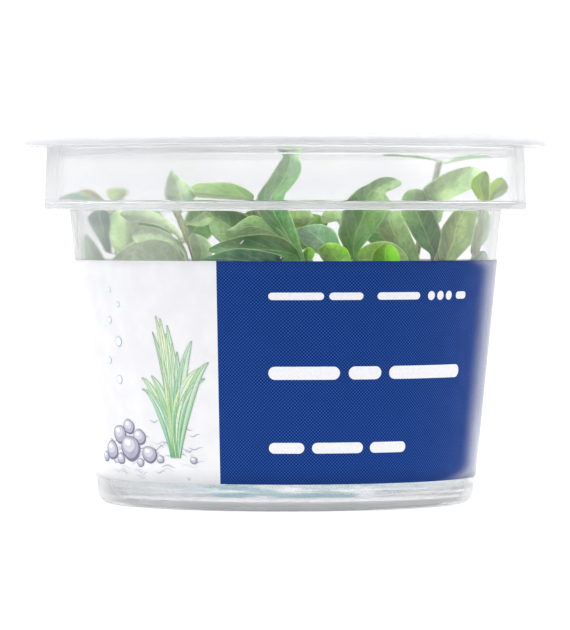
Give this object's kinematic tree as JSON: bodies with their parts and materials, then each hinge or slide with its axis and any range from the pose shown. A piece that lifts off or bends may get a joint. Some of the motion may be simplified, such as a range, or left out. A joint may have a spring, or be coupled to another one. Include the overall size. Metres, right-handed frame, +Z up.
{
  "type": "cup-grown hygrophila plants",
  "caption": "Round clear lidded culture cup with a wrap label, holding rooted aquarium plant shoots with paired oval leaves in nutrient gel.",
  "frame": {"origin": "centre of the circle that the cup stands on, at the height of that surface", "axes": "+Z up along the cup's axis; the label's seam gap faces +Y, and its front, where its white and blue fields meet, faces -Y"},
  "size_m": [0.095, 0.095, 0.0669],
  "materials": {
    "clear_plastic": "clear moulded polypropylene with a slight haze",
    "lid_plastic": "clear moulded polypropylene with a slight haze",
    "printed_film": "printed film label, deep blue and white",
    "gel": "clear nutrient gel",
    "stem": "soft plant stem, olive to reddish brown",
    "leaf_bright": "soft plant leaf",
    "leaf_deep": "soft plant leaf",
    "leaf_green": "soft plant leaf",
    "leaf_lime": "soft plant leaf",
    "leaf_olive": "soft plant leaf",
    "leaf_sage": "soft plant leaf",
    "leaf_tan": "soft plant leaf",
    "leaf_teal": "soft plant leaf"
  },
  "bodies": {
    "root": {"cup": "clear_plastic", "lid": "lid_plastic", "label": "printed_film", "gel": "gel", "stem_01": "stem", "stem_02": "stem", "stem_03": "stem", "stem_04": "stem", "stem_05": "stem", "stem_06": "stem", "stem_07": "stem", "stem_08": "stem", "stem_09": "stem", "stem_10": "stem", "leaf_01": "leaf_teal", "leaf_02": "leaf_olive", "leaf_03": "leaf_olive", "leaf_04": "leaf_teal", "leaf_05": "leaf_teal", "leaf_06": "leaf_green", "leaf_07": "leaf_sage", "leaf_08": "leaf_olive", "leaf_09": "leaf_olive", "leaf_10": "leaf_green", "leaf_11": "leaf_lime", "leaf_12": "leaf_olive", "leaf_13": "leaf_lime", "leaf_14": "leaf_teal", "leaf_15": "leaf_tan", "leaf_16": "leaf_teal", "leaf_17": "leaf_tan", "leaf_18": "leaf_deep", "leaf_19": "leaf_deep", "leaf_20": "leaf_bright", "leaf_21": "leaf_green", "leaf_22": "leaf_teal", "leaf_23": "leaf_green", "leaf_24": "leaf_green", "leaf_25": "leaf_lime", "leaf_26": "leaf_bright", "leaf_27": "leaf_deep", "leaf_28": "leaf_olive", "leaf_29": "leaf_olive", "leaf_30": "leaf_deep", "leaf_31": "leaf_lime", "leaf_32": "leaf_lime", "leaf_33": "leaf_sage", "leaf_34": "leaf_sage", "leaf_35": "leaf_teal", "leaf_36": "leaf_teal", "leaf_37": "leaf_sage", "leaf_38": "leaf_sage", "leaf_39": "leaf_green", "leaf_40": "leaf_green", "leaf_41": "leaf_olive", "leaf_42": "leaf_deep", "leaf_43": "leaf_green", "leaf_44": "leaf_sage", "leaf_45": "leaf_deep"}
  },
  "joints": []
}
